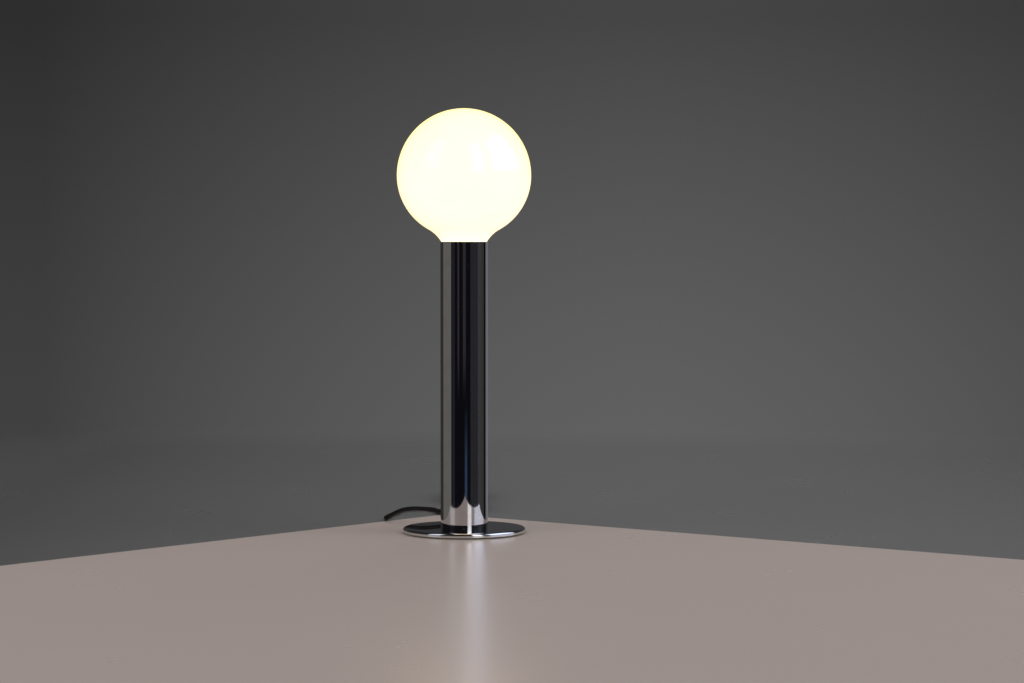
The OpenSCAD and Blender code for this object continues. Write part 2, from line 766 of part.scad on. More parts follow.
rings_per_loop = 24;
end_run = hank_run / (2 * hank_run + 2 * PI * hank_out_r) / 2;
hank_from = -end_run;
hank_to = hank_loops + end_run;
hank_rings = round((hank_to - hank_from) * rings_per_loop);
function hank_line(n) = [for (i = [0:n]) hank_point(hank_from + (hank_to - hank_from) * i / n)];
hank_route = concat(
    [[hank_out_r, hank_y - cord_d, hank_z]],
    hank_line(hank_rings),
    [[hank_out_r, hank_y + hank_run + cord_d, hank_z + 3 * hank_layer]]
);

// Least distance between stretches of the hank that lie more than four diameters apart along it
function route_gap(p, apart) = min([
    for (i = [0:len(p) - 1 - apart]) min([for (j = [i + apart:len(p) - 1]) norm(p[i] - p[j])])
]) - cord_d;

module cord_hank() {
    color("black") swept(hank_route, cord_r, 6);
    echo(str("least gap of the hank to itself: ", route_gap(hank_line(360), 12), " mm"));
}

module cord_tie() {
    half_w = hank_out_r - hank_waist_at(tie_w / 2) + cord_r + free_gap + 0.6;
    top = hank_z + 3 * hank_layer + cord_r + free_gap;
    corner = cord_r + 0.5;
    color("black") translate([0, hank_mid_y + tie_w / 2, 0]) rotate([90, 0, 0])
        linear_extrude(tie_w) difference() {
            hull() for (x = [-1, 1], z = [corner + tie_t, top - corner])
                translate([x * (half_w - corner), z]) circle(corner + tie_t, $fn = 32);
            hull() for (x = [-1, 1], z = [corner + tie_t, top - corner])
                translate([x * (half_w - corner), z]) circle(corner, $fn = 32);
        }
}

module at_switch() {
    translate([switch_x, switch_y, 0]) children();
}

module switch_plan(inset) {
    l = switch_l / 2 - inset;
    w = switch_w / 2 - inset;
    c = switch_corner - inset;
    translate([-w, c - l]) square([2 * w, 2 * (l - c)]);
    translate([c - w, -l]) square([2 * (w - c), 2 * l]);
    for (x = [-1, 1], y = [-1, 1]) translate([x * (w - c), y * (l - c)]) circle(c);
}

module switch_entries() {
    translate([0, 0, switch_z]) rotate([90, 0, 0])
        cylinder(r = cord_r + thread_fit, h = switch_l + 2, center = true);
}

module at_case_screws() {
    for (p = case_screw_at) translate([p[0], p[1], 0]) children();
}

module switch_lower_shell() {
    color("black") at_switch() difference() {
        union() {
            difference() {
                linear_extrude(switch_z) switch_plan(0);
                translate([0, 0, switch_wall]) linear_extrude(switch_h) switch_plan(switch_wall);
            }
            at_case_screws() cylinder(r = 2.7, h = switch_z);
            for (y = [-grip_y, grip_y]) translate([-4.5, y - 1.5, 0.5]) cube([9, 3, switch_z - 1]);
        }
        switch_entries();
        at_case_screws() {
            translate([0, 0, -1]) cylinder(r = case_screw_r + seat, h = switch_h);
            translate([0, 0, -1]) cylinder(r = 2.5, h = 1 + case_head_z);
        }
    }
}

module switch_upper_shell() {
    body_h = switch_h - switch_z;
    edge = 2.4;
    color("black") at_switch() difference() {
        union() {
            difference() {
                translate([0, 0, switch_z]) hull() {
                    linear_extrude(body_h - edge) switch_plan(0);
                    for (a = [30, 60, 90]) linear_extrude(body_h - edge + edge * sin(a))
                        switch_plan(edge * (1 - cos(a)));
                }
                translate([0, 0, switch_z - 1]) hull() {
                    linear_extrude(body_h - edge + 1) switch_plan(switch_wall);
                    linear_extrude(body_h - switch_wall + 1) switch_plan(switch_wall + edge);
                }
            }
            at_case_screws() translate([0, 0, switch_z]) cylinder(r = 2.7, h = body_h - 1);
            for (y = [-grip_y, grip_y]) translate([-4.5, y - 1.5, switch_z + cord_r + 1.6])
                cube([9, 3, body_h - cord_r - 2.6]);
        }
        switch_entries();
        at_case_screws() cylinder(r = case_screw_r + thread_fit, h = switch_h - 2.5);
        translate([-rocker_w / 2 - 0.4, -rocker_l / 2 - 0.9, pin_z])
            cube([rocker_w + 0.8, rocker_l + 1.8, 20]);
        translate([0, 0, pin_z]) rotate([0, 90, 0])
            cylinder(r = rocker_pin_r + fit, h = switch_w - 1, center = true);
    }
}

// The rocker, its pin and its contact are drawn level and tipped to the side that is on
module at_rocker() {
    at_switch() translate([0, 0, pin_z]) rotate([rocker_rest, 0, 0]) children();
}

module switch_rocker() {
    foot_z = bar_z + bar_t - pin_z;
    color("black") at_rocker() difference() {
        union() {
            rotate([90, 0, 90]) translate([0, 0, -rocker_w / 2]) linear_extrude(rocker_w)
                polygon(concat(
                    [[-3, -2.4], [3, -2.4], [rocker_l / 2, 0.6], [rocker_l / 2, rocker_rise]],
                    arc(0, 27.5, 24.6, -90 + 12, -90 - 12, 8),
                    [[-rocker_l / 2, rocker_rise], [-rocker_l / 2, 0.6]]
                ));
            rotate([-rocker_rest, 0, 0]) translate([-3.9, pad_y - 1, foot_z])
                cube([3, 2, -foot_z]);
        }
        rotate([0, 90, 0]) cylinder(r = rocker_pin_r + thread_fit, h = 30, center = true);
    }
}

module rocker_pin() {
    color("silver") at_switch() translate([0, 0, pin_z]) rotate([0, 90, 0])
        cylinder(r = rocker_pin_r, h = switch_w - 1.4, center = true);
}

module moving_contact() {
    color("gold") at_switch() translate([-6.2, pad_y - 1.25, bar_z]) cube([7.6, 2.5, bar_t]);
}

// Two live blocks, each with an arm that ends in a pad under the moving contact
module live_contacts() {
    color("gold") at_switch() {
        for (s = [-1, 1]) translate([live_block_x, s * block_y, switch_wall]) terminal_block();
        translate([live_block_x - 1.2, -block_y, arm_z]) cube([2.4, block_y + pad_y + 1.2, arm_t]);
        translate([live_block_x, pad_y, arm_z + arm_t - 0.1]) cylinder(r = 1.1, h = pad_h + 0.1);
        translate([live_block_x, block_y - 1.2, arm_z]) cube([5.2, 2.4, arm_t]);
        translate([-1.2, pad_y - 1.2, arm_z]) cube([2.2, block_y - pad_y + 2.4, arm_t]);
        translate([-0.1, pad_y, arm_z + arm_t - 0.1]) cylinder(r = 1.1, h = pad_h + 0.1);
    }
}

module terminal_block() {
    difference() {
        translate([-block[0] / 2, -block[1] / 2, 0]) cube(block);
        translate([0, 0, block[2] / 2]) cylinder(r = switch_screw_r + thread_fit, h = block[2]);
    }
}

module neutral_link() {
    color("gold") at_switch() {
        for (s = [-1, 1]) translate([neutral_block_x, s * block_y, switch_wall]) terminal_block();
        translate([neutral_block_x - 1.2, -block_y, arm_z]) cube([2.4, 2 * block_y, arm_t]);
    }
}

module switch_screws() {
    color("silver") at_switch()
        for (x = [live_block_x, neutral_block_x], s = [-1, 1])
            translate([x, s * block_y, switch_wall + block[2]]) mirror([0, 0, 1])
                pan_screw(switch_screw_r, 1.8, 1.1, block[2] / 2 - 0.2);
}

module switch_case_screws() {
    color("silver") at_switch() at_case_screws() translate([0, 0, case_head_z])
        pan_screw(case_screw_r, 2.2, 1.5, switch_h - 4.8);
}

module switch_cord_grips() {
    color("gainsboro") at_switch() for (y = [-grip_y, grip_y])
        translate([-4.2, y - 1.3, switch_z + cord_r + thread_fit]) cube([8.4, 2.6, 1.5]);
}

module switch_cord_ends() {
    l = switch_l / 2 - sheath_end;
    color("black") at_switch() for (s = [-1, 1])
        translate([0, s * (sheath_end + l / 2), switch_z]) rotate([90, 0, 0])
            cylinder(r = cord_r, h = l, center = true);
}

module switch_cores() {
    color("saddlebrown") at_switch()
        for (x = [live_block_x, neutral_block_x], s = [-1, 1])
            swept([
                [sign(x) * 0.95, s * sheath_end, switch_z],
                [sign(x) * 0.95, s * (sheath_end - 0.8), switch_z],
                [sign(x) * 1.8, s * (sheath_end - 1.4), switch_z - 0.8],
                [x * 0.9, s * (block_y + block[1] / 2 + 1.5), switch_z - 2.4],
                [x, s * (block_y + block[1] / 2 + 0.9), switch_z - 2.6],
                [x, s * (block_y + block[1] / 2), switch_z - 2.6]
            ], 0.8, 8);
}

// Flat two-pin plug: a wide rounded face, drawn in towards the cord
module plug_body() {
    rear_w = 13;
    rear_t = 10.4;
    color("black") translate([plug_x, 0, plug_z]) difference() {
        hull() {
            translate([0, plug_face_y - 8, 0]) plug_slice(plug_w, plug_t, 8);
            translate([0, plug_y, 0]) plug_slice(rear_w, rear_t, 4);
        }
        for (s = [-1, 1]) translate([s * pin_gap / 2, plug_face_y - pin_socket, 0]) rearward()
            cylinder(r = pin_d / 2 - pin_sleeve_t + fit, h = pin_socket + 1);
    }
}

module plug_slice(w, t, l) {
    for (s = [-1, 1]) translate([s * (w - t) / 2, 0, 0]) rearward()
        cylinder(d = t, h = l, $fn = 32);
}

module at_pins() {
    for (s = [-1, 1]) translate([plug_x + s * pin_gap / 2, plug_face_y, plug_z]) rearward()
        children();
}

module plug_pins() {
    r = pin_d / 2;
    color("gold") at_pins() turned([
        [0, seat - pin_socket], [r - pin_sleeve_t, seat - pin_socket],
        [r - pin_sleeve_t, pin_sleeve_l], [r, pin_sleeve_l], [r, pin_l - 1], [r - 1, pin_l],
        [0, pin_l]
    ]);
}

module pin_sleeves() {
    r = pin_d / 2;
    color("black") at_pins()
        ring(r - pin_sleeve_inset, r - pin_sleeve_t + fit, pin_sleeve_l - fit);
}

module plug_sleeve() {
    ribs = 4;
    rib_step = (plug_sleeve_l - 5) / ribs;
    color("black") translate([plug_x, plug_sleeve_y, plug_z]) rearward() {
        cylinder(r1 = cord_r + 0.7, r2 = cord_r + 2.2, h = plug_sleeve_l);
        for (i = [0:ribs - 1]) translate([0, 0, 3 + i * rib_step])
            cylinder(r = cord_r + 1.4 + 0.35 * i, h = rib_step / 2);
    }
}

felt_pad();
base_plate();
base_screws();
foot_plug();
tube();
cord_bush();
cord_clamp();
clamp_screws();
inner_lead();
holder_bridge();
nipple();
nipple_nuts();
lock_washer();
holder_dome();
dome_grub_screw();
holder_barrel();
holder_insert();
holder_shell();
centre_contact();
shell_contact();
holder_terminals();
terminal_screws();
holder_cores();
globe();
cap_shell();
cap_cement();
cap_insulator();
cap_contact();
bulb_stem();
lead_in_wires();
filament_supports();
filament();
cord_lamp_side();
switch_lower_shell();
switch_upper_shell();
switch_rocker();
rocker_pin();
moving_contact();
live_contacts();
neutral_link();
switch_screws();
switch_case_screws();
switch_cord_grips();
switch_cord_ends();
switch_cores();
cord_to_hank();
cord_hank();
cord_tie();
cord_to_plug();
plug_body();
plug_pins();
pin_sleeves();
plug_sleeve();
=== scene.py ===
"""Cylinder table lamp: the finishes, the cord and the turned pieces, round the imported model.

Metres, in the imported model's frame: +Z up, the origin under the middle of the foot disc, and the
cord leaves towards +Y. The lamp is lit: its opal globe shines, and a plain studio stands round it.
"""
import json
import math

import bmesh
import bpy
from mathutils import Matrix, Vector


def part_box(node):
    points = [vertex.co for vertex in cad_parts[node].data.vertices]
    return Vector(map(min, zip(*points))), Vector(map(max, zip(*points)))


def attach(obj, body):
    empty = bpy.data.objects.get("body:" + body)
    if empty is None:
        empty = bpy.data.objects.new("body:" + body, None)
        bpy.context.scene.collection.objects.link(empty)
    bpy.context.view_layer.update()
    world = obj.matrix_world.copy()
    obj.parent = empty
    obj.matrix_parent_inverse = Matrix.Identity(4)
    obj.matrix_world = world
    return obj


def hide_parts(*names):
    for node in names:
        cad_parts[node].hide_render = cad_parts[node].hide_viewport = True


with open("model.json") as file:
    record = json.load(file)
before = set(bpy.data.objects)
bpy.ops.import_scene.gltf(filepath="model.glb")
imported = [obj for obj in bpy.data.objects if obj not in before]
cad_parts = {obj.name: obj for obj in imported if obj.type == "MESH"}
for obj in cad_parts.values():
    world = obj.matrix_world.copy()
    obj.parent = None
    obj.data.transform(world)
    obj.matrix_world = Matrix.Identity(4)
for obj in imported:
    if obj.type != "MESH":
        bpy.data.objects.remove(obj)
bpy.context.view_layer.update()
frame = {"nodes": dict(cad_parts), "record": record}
NODES = frame["nodes"]
MM = 0.001

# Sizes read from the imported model
TUBE_LOW, TUBE_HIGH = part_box("tube")
PLATE_LOW, PLATE_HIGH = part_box("base_plate")
FELT_LOW, FELT_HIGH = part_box("felt_pad")
GLOBE_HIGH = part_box("globe")[1]
TUBE_R = TUBE_HIGH.x
GLOBE_R = GLOBE_HIGH.x
GLOBE_Z = GLOBE_HIGH.z - GLOBE_R

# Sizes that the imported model's boxes don't give, the same as in its source
TUBE_WALL = 1.2 * MM
RIM_EDGE = 0.3 * MM
CORD_HOLE_R = 4.05 * MM
DISC_ROUND = 2 * MM
SCREW_ANGLES, SCREW_CIRCLE_R, SCREW_SINK = (90, 210, 330), 12 * MM, 2 * MM
# Radii of the screw holes at their mouths and further up, each 0.05 mm less than in that source
SCREW_HEAD_R, SCREW_HOLE_R = 4.05 * MM, 2.05 * MM

# The cord's radius and its routes in millimetres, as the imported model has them
CORD_R = 2 * MM
EXIT_Z = 12.8
SLEEVE_END_Y = 44.8
SWITCH_X, SWITCH_Y, SWITCH_Z, SWITCH_L = 9, 205, 7, 58
SWITCH_IN_Y, SWITCH_OUT_Y = SWITCH_Y - SWITCH_L / 2, SWITCH_Y + SWITCH_L / 2
LAMP_SIDE = [
    (0, SLEEVE_END_Y, EXIT_Z), (0, SLEEVE_END_Y + 4, EXIT_Z), (-0.8, 54, 12.6), (-3.2, 58.8, 12.3),
    (-7, 62.6, 12), (-11.8, 65.1, 11.9), (-18.5, 67.4, 12), (-25.5, 69.7, 12.5), (-33, 72.4, 13.5),
    (-41, 75.7, 14), (-49, 79.4, 13.6), (-56, 83.4, 12.2), (-61.7, 87.3, 10), (-66, 91.2, 7.3),
    (-69.4, 95.6, 4.8), (-72, 100.8, 2.9), (-73.3, 106.8, 2.1), (-73.4, 113.2, 2.1),
    (-72.1, 121, 2.1), (-70.2, 130, 2.1), (-68, 140, 2.1), (-65.9, 150, 2.1), (-63.9, 159, 2.1),
    (-62.2, 167.2, 2.1), (-61, 175.6, 2.1), (-57.6, 183.4, 2.1), (-51.6, 188.3, 2.1),
    (-44.2, 190, 2.1), (-36.7, 188.3, 2.1), (-30.6, 183.2, 2.1), (-27.4, 175.6, 2.1),
    (-26.4, 167.5, 2.1), (-25.2, 159.5, 2.1), (-22, 151.8, 2.1), (-15.8, 145.7, 2.1),
    (-7.5, 143.5, 2.2), (0.8, 145.7, 2.6), (6.8, 151.8, 3.7), (9, 160, 5.2), (9, 166, 6.3),
    (SWITCH_X, SWITCH_IN_Y - 5, SWITCH_Z), (SWITCH_X, SWITCH_IN_Y, SWITCH_Z),
]
HANK_RUN, HANK_Y, HANK_Z = 60, 276, 2.9
HANK_FOLD_R, HANK_STEP, HANK_LAYER = 12.2, 5.4, 4.6
HANK_LOOPS, LOOPS_PER_LAYER, RINGS_PER_LOOP = 6, 1.5, 24
HANK_WAIST = 9.9
HANK_OUT_R = HANK_FOLD_R + LOOPS_PER_LAYER * HANK_STEP
HANK_TOP = HANK_Z + 3 * HANK_LAYER
PLUG_X, PLUG_Z, PLUG_SLEEVE_Y = 2.5, 6.85, 400
TO_HANK = [
    (SWITCH_X, SWITCH_OUT_Y, SWITCH_Z), (SWITCH_X, SWITCH_OUT_Y + 5, SWITCH_Z),
    (9.7, 244.3, 6.7), (11.6, 249.3, 5.9), (14.6, 253.6, 5), (17.7, 257.9, 4), (19.6, 262.8, 3.2),
    (HANK_OUT_R, HANK_Y - 8, HANK_Z), (HANK_OUT_R, HANK_Y - 4, HANK_Z),
]
TO_PLUG = [
    (HANK_OUT_R, HANK_Y + HANK_RUN + 4, HANK_TOP), (HANK_OUT_R, HANK_Y + HANK_RUN + 8, HANK_TOP),
    (19.3, 352, 15.4), (16.2, 363, 12.7), (11.6, 372, 9.8), (7, 380, 7.8), (3.7, 388, 7),
    (PLUG_X, PLUG_SLEEVE_Y - 5, PLUG_Z), (PLUG_X, PLUG_SLEEVE_Y, PLUG_Z),
]

# The camera: a long lens well off, level with the tube's rim
CAMERA_Y, CAMERA_Z = -2.32, 0.2614
FOCAL_PX, FRAME_PX, SENSOR_MM = 2592, 1024, 36
PITCH, PAN = math.radians(2.21), math.radians(1.059)


def make_camera():
    camera = bpy.data.objects.new("camera", bpy.data.cameras.new("camera"))
    bpy.context.scene.collection.objects.link(camera)
    camera.data.sensor_width = SENSOR_MM
    camera.data.lens = FOCAL_PX / FRAME_PX * SENSOR_MM
    camera.data.clip_start, camera.data.clip_end = 0.05, 50
    turn = Matrix.Rotation(-PAN, 4, "Z") @ Matrix.Rotation(math.pi / 2 - PITCH, 4, "X")
    camera.matrix_world = Matrix.Translation((0, CAMERA_Y, CAMERA_Z)) @ turn
    bpy.context.scene.camera = camera


# Shader maths, with the outputs of the Light Path and Texture Coordinate nodes that it uses
CAMERA_RAY, GLOSSY_RAY, TRANSMISSION_RAY = 0, 3, 6
SKY_WAY, OWN_PLACE = 0, 3


class Link:
    """An output of a shader node. Python's operators on it add Math nodes."""

    def __init__(self, shades, socket):
        self.shades = shades
        self.socket = socket

    def maths(self, operation, *others):
        values = dict(enumerate((self, *others)))
        return self.shades.node("Math", {"operation": operation}, values)

    def __add__(self, other):
        return self.maths("ADD", other)

    def __sub__(self, other):
        return self.maths("SUBTRACT", other)

    def __rsub__(self, other):
        return self.shades.node("Math", {"operation": "SUBTRACT"}, {0: other, 1: self})

    def __mul__(self, other):
        return self.maths("MULTIPLY", other)

    def __truediv__(self, other):
        return self.maths("DIVIDE", other)

    __radd__ = __add__
    __rmul__ = __mul__


class Shades:
    """The node tree of one finish, or of the world."""

    def __init__(self, owner):
        owner.use_nodes = True
        self.tree = owner.node_tree
        self.tree.nodes.clear()

    def node(self, kind, settings=None, sockets=None, out=0):
        """Adds a node, sets it up, then gives its sockets their values or links."""
        made = self.tree.nodes.new("ShaderNode" + kind)
        for name, value in (settings or {}).items():
            setattr(made, name, value)
        for name, value in (sockets or {}).items():
            socket = made.inputs[name]
            if isinstance(value, Link):
                self.tree.links.new(value.socket, socket)
            elif socket.type == "RGBA":
                socket.default_value = (*value, 1)
            else:
                socket.default_value = value
        return Link(self, made.outputs[out]) if made.outputs else None

    def place(self, scale=None):
        """The piece's own coordinates in metres, stretched."""
        own = self.node("TexCoord", out=OWN_PLACE)
        return own if scale is None else self.node("Mapping", None, {0: own, 3: scale})

    def is_ray(self, kind):
        """1 for rays of this kind, and 0 for the rest."""
        return self.node("LightPath", out=kind)

    def along(self, axis, of=None):
        """One number of a place or direction: 0, 1 or 2 for X, Y or Z."""
        return self.node("SeparateXYZ", None, {0: of or self.place()}, out=axis)

    def noise(self, scale, detail=2, at=None):
        """Noise from 0 to 1 that has about scale patches in a metre."""
        return self.node("TexNoise", None, {0: at or self.place(), 2: scale, 3: detail})

    def rise(self, value, low, high):
        """0 below low, 1 above high and a smooth rise between them."""
        settings = {"interpolation_type": "SMOOTHSTEP"}
        return self.node("MapRange", settings, {0: value, 1: low, 2: high})

    def mix(self, share, first, second):
        """A colour between first and second."""
        return self.node("Mix", {"data_type": "RGBA"}, {0: share, 6: first, 7: second}, out=2)

    def bump(self, height, distance):
        return self.node("Bump", None, {"Height": height, "Distance": distance})

    def surface(self, **sockets):
        named = {name.replace("_", " "): value for name, value in sockets.items()}
        self.node("OutputMaterial", None, {0: self.node("BsdfPrincipled", None, named)})


def new_finish(name):
    material = bpy.data.materials.new(name + "_finish")
    return material, Shades(material)


def plain_finish(name, dark, light, patches, rough, grain, depth, **constants):
    """A finish whose colour, gloss and surface vary: patches and grain are counts in a metre."""
    material, s = new_finish(name)
    tone = s.rise(s.noise(patches, 4), 0.3, 0.7)
    fine = s.noise(grain, 3)
    s.surface(
        Base_Color=s.mix(tone, dark, light),
        Roughness=rough[0] + (rough[1] - rough[0]) * (0.5 * tone + 0.5 * fine),
        Normal=s.bump(fine, depth),
        **constants,
    )
    return material


def chrome_finish():
    """Mirror chrome with faint wiping marks and drawn lines that run up the tube."""
    material, s = new_finish("chrome")
    marks = s.rise(s.noise(90, 5), 0.45, 0.75)
    drawn = s.noise(1, 3, s.place((900, 900, 20)))
    s.surface(
        Base_Color=s.mix(marks, (0.66, 0.665, 0.68), (0.62, 0.62, 0.63)),
        Metallic=1.0,
        Roughness=0.02 + 0.035 * marks + 0.02 * drawn,
        Normal=s.bump(s.noise(45, 1) + 0.05 * drawn, 0.00001),
    )
    return material


def felt_finish():
    """Dark olive felt: matted fibres, with paler ones that stand out."""
    material, s = new_finish("felt")
    fibres = s.noise(2600, 4, s.place((1, 1, 2.2)))
    clumps = s.noise(320, 3)
    s.surface(
        Base_Color=s.mix(s.rise(fibres, 0.35, 0.75), (0.045, 0.052, 0.030), (0.16, 0.165, 0.105)),
        Roughness=0.9 + 0.1 * clumps,
        Normal=s.bump(fibres + 0.6 * clumps, 0.0004),
        Sheen_Weight=0.4,
    )
    return material


# The lit glass: low and high on the globe, low on its neck, and as other surfaces mirror it
GLOW_LOW, GLOW_HIGH = (1.45, 1.14, 0.72), (1.50, 1.15, 0.34)
NECK_GLOW, MIRRORED_GLOW = (0.55, 0.31, 0.12), (3.0, 2.1, 1.35)


def opal_finish():
    """Opal glass lit from inside: warm white, and dimmer and warmer down its neck."""
    material, s = new_finish("opal_glass")
    z = s.along(2)
    lit = s.rise(z, TUBE_HIGH.z - 24 * MM, TUBE_HIGH.z + 1 * MM)
    cloud = s.noise(28, 3)
    up = s.rise(z, TUBE_HIGH.z - 20 * MM, GLOBE_HIGH.z + 10 * MM)
    glow = s.mix(up + 0.1 * cloud, GLOW_LOW, GLOW_HIGH)
    glow = s.mix(s.is_ray(GLOSSY_RAY), glow, MIRRORED_GLOW)
    s.surface(
        Base_Color=s.mix(cloud, (0.74, 0.70, 0.58), (0.78, 0.74, 0.62)),
        Roughness=0.12 + 0.06 * cloud,
        Normal=s.bump(s.noise(60, 2), 0.00003),
        Emission_Color=s.mix(lit, NECK_GLOW, glow),
        Emission_Strength=1.0,
        Coat_Weight=0.4,
        Coat_Roughness=0.05,
    )
    return material


def core_finish(name, middle_x):
    """The insulation of a cord's two cores: brown on one side of the middle, blue on the other."""
    material, s = new_finish(name)
    grain = s.noise(900, 2)
    s.surface(
        Base_Color=s.mix(
            s.rise(s.along(0), middle_x - 0.2 * MM, middle_x + 0.2 * MM),
            s.mix(grain, (0.20, 0.085, 0.035), (0.26, 0.11, 0.05)),
            s.mix(grain, (0.03, 0.10, 0.34), (0.04, 0.13, 0.42)),
        ),
        Roughness=0.35 + 0.15 * grain,
        Normal=s.bump(grain, 0.00003),
    )
    return material


FINISHES = {
    "felt": felt_finish(),
    "chrome": chrome_finish(),
    "opal_glass": opal_finish(),
    "zinc_steel": plain_finish("zinc_steel", (0.50, 0.51, 0.53), (0.66, 0.67, 0.68), 160,
                               (0.22, 0.42), 1800, 0.00003, Metallic=1.0),
    "dark_steel": plain_finish("dark_steel", (0.06, 0.06, 0.065), (0.13, 0.13, 0.14), 240,
                               (0.3, 0.5), 1800, 0.00003, Metallic=1.0),
    "cord_pvc": plain_finish("cord_pvc", (0.004, 0.0035, 0.0035), (0.009, 0.008, 0.008), 120,
                             (0.34, 0.50), 1400, 0.00005, Specular_IOR_Level=0.2),
    "black_moulding": plain_finish("black_moulding", (0.012, 0.012, 0.013), (0.022, 0.022, 0.023),
                                   90, (0.30, 0.44), 2600, 0.00004),
    "bakelite": plain_finish("bakelite", (0.016, 0.013, 0.012), (0.040, 0.030, 0.025), 110,
                             (0.22, 0.38), 1500, 0.00004, Coat_Weight=0.3),
    "ceramic": plain_finish("ceramic", (0.74, 0.72, 0.66), (0.84, 0.82, 0.77), 300,
                            (0.45, 0.7), 2200, 0.00008),
    "brass": plain_finish("brass", (0.58, 0.40, 0.15), (0.78, 0.58, 0.26), 190,
                          (0.24, 0.42), 1600, 0.00003, Metallic=1.0),
    "clear_glass": plain_finish("clear_glass", (0.90, 0.94, 0.94), (0.96, 0.98, 0.98), 90,
                                (0.02, 0.08), 300, 0.00003, Transmission_Weight=0.9, IOR=1.5),
    "black_glass": plain_finish("black_glass", (0.010, 0.010, 0.014), (0.020, 0.020, 0.028), 200,
                                (0.06, 0.16), 900, 0.00003),
    "cap_metal": plain_finish("cap_metal", (0.66, 0.66, 0.66), (0.80, 0.80, 0.80), 220,
                              (0.2, 0.4), 1700, 0.00003, Metallic=1.0),
    "solder": plain_finish("solder", (0.46, 0.46, 0.48), (0.66, 0.66, 0.68), 420,
                           (0.35, 0.6), 1500, 0.0001, Metallic=1.0),
    "cement": plain_finish("cement", (0.55, 0.50, 0.40), (0.74, 0.68, 0.57), 500,
                           (0.8, 0.95), 2500, 0.0002),
    "wire": plain_finish("wire", (0.42, 0.41, 0.40), (0.60, 0.59, 0.58), 600,
                         (0.2, 0.4), 3000, 0.00001, Metallic=1.0),
    "tungsten": plain_finish("tungsten", (0.22, 0.21, 0.20), (0.36, 0.34, 0.32), 600,
                             (0.3, 0.5), 3000, 0.00001, Metallic=1.0),
}
CORES = {
    "holder_cores": core_finish("holder_core_plastic", 0),
    "switch_cores": core_finish("switch_core_plastic", SWITCH_X * MM),
}


# Modelling tools
def deselect():
    bpy.ops.object.select_all(action="DESELECT")


def begin(adder, name, **place):
    """Adds a primitive with nothing else selected, and puts its place in its mesh."""
    deselect()
    adder(**place)
    piece = bpy.context.object
    piece.name = piece.data.name = name
    bpy.ops.object.transform_apply(location=True, rotation=True, scale=True)
    return piece


class Editing:
    """Edit mode on one piece, in which parts are picked by their place and direction."""

    def __init__(self, piece, parts="FACE"):
        self.piece = piece
        self.parts = parts

    def __enter__(self):
        deselect()
        bpy.context.view_layer.objects.active = self.piece
        self.piece.select_set(True)
        bpy.ops.object.mode_set(mode="EDIT")
        bpy.ops.mesh.select_mode(type=self.parts)
        return self

    def __exit__(self, *problem):
        bpy.ops.object.mode_set(mode="OBJECT")

    def everything(self):
        bpy.ops.mesh.select_all(action="SELECT")

    def pick(self, test):
        """Selects the parts whose middle and normal, or an edge's direction, pass the test."""
        bpy.ops.mesh.select_all(action="DESELECT")
        mesh = bmesh.from_edit_mesh(self.piece.data)
        if self.parts == "FACE":
            found = [f for f in mesh.faces if test(f.calc_center_median(), f.normal)]
        elif self.parts == "VERT":
            found = [v for v in mesh.verts if test(v.co, v.normal)]
        else:
            ends = [(e, e.verts[0].co, e.verts[1].co) for e in mesh.edges]
            found = [e for e, a, b in ends if test((a + b) / 2, (b - a).normalized())]
        for part in found:
            part.select = True
        mesh.select_flush_mode()
        bmesh.update_edit_mesh(self.piece.data)


def modify(piece, kind, **settings):
    """Adds a modifier and applies it."""
    modifier = piece.modifiers.new(kind.lower(), kind)
    for name, value in settings.items():
        setattr(modifier, name, value)
    bpy.context.view_layer.objects.active = piece
    bpy.ops.object.modifier_apply(modifier=modifier.name)


def cut(piece, cutter):
    """Takes the cutter's space out of the piece, and the cutter away."""
    modify(piece, "BOOLEAN", operation="DIFFERENCE", object=cutter, solver="EXACT")
    bpy.data.objects.remove(cutter)


def smooth(piece, degrees=32):
    deselect()
    bpy.context.view_layer.objects.active = piece
    piece.select_set(True)
    bpy.ops.object.shade_smooth_by_angle(angle=math.radians(degrees))


def arc(x, z, r, start, end, count):
    """Points of a round stretch of a profile; the angles are in degrees."""
    turns = [math.radians(start + (end - start) * i / count) for i in range(count + 1)]
    return [(x + r * math.cos(a), z + r * math.sin(a)) for a in turns]


def turned(name, profile, steps=128):
    """A solid turned round the Z axis: one vertex drawn along the profile, then spun."""
    x, z = profile[0]
    piece = begin(bpy.ops.mesh.primitive_plane_add, name, size=MM, location=(x, 0, z))
    with Editing(piece, "VERT") as edit:
        edit.everything()
        bpy.ops.mesh.merge(type="CENTER")
        for (x0, z0), (x1, z1) in zip(profile, profile[1:]):
            step = {"value": (x1 - x0, 0, z1 - z0)}
            bpy.ops.mesh.extrude_region_move(TRANSFORM_OT_translate=step)
        edit.everything()
        bpy.ops.mesh.spin(steps=steps, angle=2 * math.pi, center=(0, 0, 0), axis=(0, 0, 1))
        edit.everything()
        bpy.ops.mesh.remove_doubles(threshold=0.01 * MM)
        bpy.ops.mesh.normals_make_consistent(inside=False)
    return piece


def dress(piece, slot, body, *stands_for):
    """Gives a finished piece its finish and its body, and hides the nodes that it stands for."""
    piece.data.materials.clear()
    piece.data.materials.append(FINISHES[slot])
    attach(piece, body)
    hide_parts(*stands_for)


# The cord
def smooth_step(t):
    t = min(1, max(0, t))
    return t * t * (3 - 2 * t)


